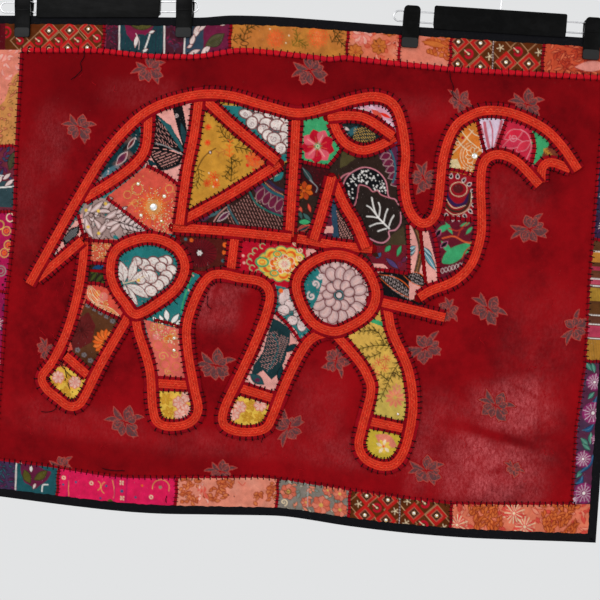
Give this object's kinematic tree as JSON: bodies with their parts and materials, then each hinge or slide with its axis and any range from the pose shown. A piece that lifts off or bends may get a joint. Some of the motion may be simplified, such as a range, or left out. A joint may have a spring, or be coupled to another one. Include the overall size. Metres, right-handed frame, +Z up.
{
  "type": "textile wall hanging on two clip hangers",
  "caption": "Landscape patchwork wall hanging, an elephant in braid-taped applique on a red field with a printed patch border and black binding, hung by its top edge from clip hangers.",
  "frame": {"origin": "on the line of the rail that the insides of the two hooks rest on, above the middle of the cloth's width", "axes": "+X along the cloth to the viewer's right, +Y from the viewer through the cloth to its back, +Z up"},
  "size_m": [1.0076, 0.0637, 0.9061],
  "materials": {
    "red_cotton": "matte",
    "black_cotton": "matte",
    "braid": "matte",
    "printed_brown": "matte",
    "printed_teal": "matte",
    "printed_ochre": "matte",
    "printed_coral": "matte",
    "printed_magenta": "matte",
    "printed_pink": "matte",
    "black_plastic": "satin",
    "chromed_wire": "polished"
  },
  "bodies": {
    "root": {"field": "red_cotton", "binding_top": "black_cotton", "binding_right": "black_cotton", "binding_bottom": "black_cotton", "binding_left": "black_cotton", "border_top_1": "printed_brown", "border_top_2": "printed_teal", "border_top_3": "printed_ochre", "border_top_4": "printed_coral", "border_top_5": "printed_coral", "border_top_6": "printed_brown", "border_top_7": "printed_ochre", "border_bottom_1": "printed_teal", "border_bottom_2": "printed_magenta", "border_bottom_3": "printed_coral", "border_bottom_4": "printed_pink", "border_bottom_5": "printed_brown", "border_bottom_6": "printed_coral", "border_left_1": "printed_pink", "border_left_2": "printed_teal", "border_left_3": "printed_magenta", "border_left_4": "printed_teal", "border_right_1": "printed_teal", "border_right_2": "printed_ochre", "border_right_3": "printed_teal", "panel_rump": "printed_teal", "panel_hip": "printed_teal", "panel_far_leg": "printed_coral", "panel_hind_leg": "printed_coral", "panel_saddle": "printed_ochre", "panel_belly_and_fore_leg": "printed_teal", "panel_head": "printed_brown", "panel_trunk": "printed_pink", "panel_front_leg": "printed_ochre", "panel_shoulder": "printed_teal", "tape_back_and_trunk": "braid", "tape_shoulder_ring": "braid", "tape_hip_ring": "braid", "tape_trunk_inner": "braid", "tape_jaw_and_front_leg": "braid", "tape_belly_and_legs": "braid", "tape_tail_and_far_leg": "braid", "tape_rump": "braid", "tape_saddle_front": "braid", "tape_saddle_foot": "braid", "tape_saddle_back": "braid", "tape_tent": "braid", "tape_eye": "braid", "hanger_left_plate": "black_plastic", "hanger_left_wire_a": "chromed_wire", "hanger_left_clip_a": "black_plastic", "hanger_left_wire_b": "chromed_wire", "hanger_left_clip_b": "black_plastic", "hanger_left_hook": "chromed_wire", "hanger_right_plate": "black_plastic", "hanger_right_wire_a": "chromed_wire", "hanger_right_clip_a": "black_plastic", "hanger_right_wire_b": "chromed_wire", "hanger_right_clip_b": "black_plastic", "hanger_right_hook": "chromed_wire"}
  },
  "joints": []
}
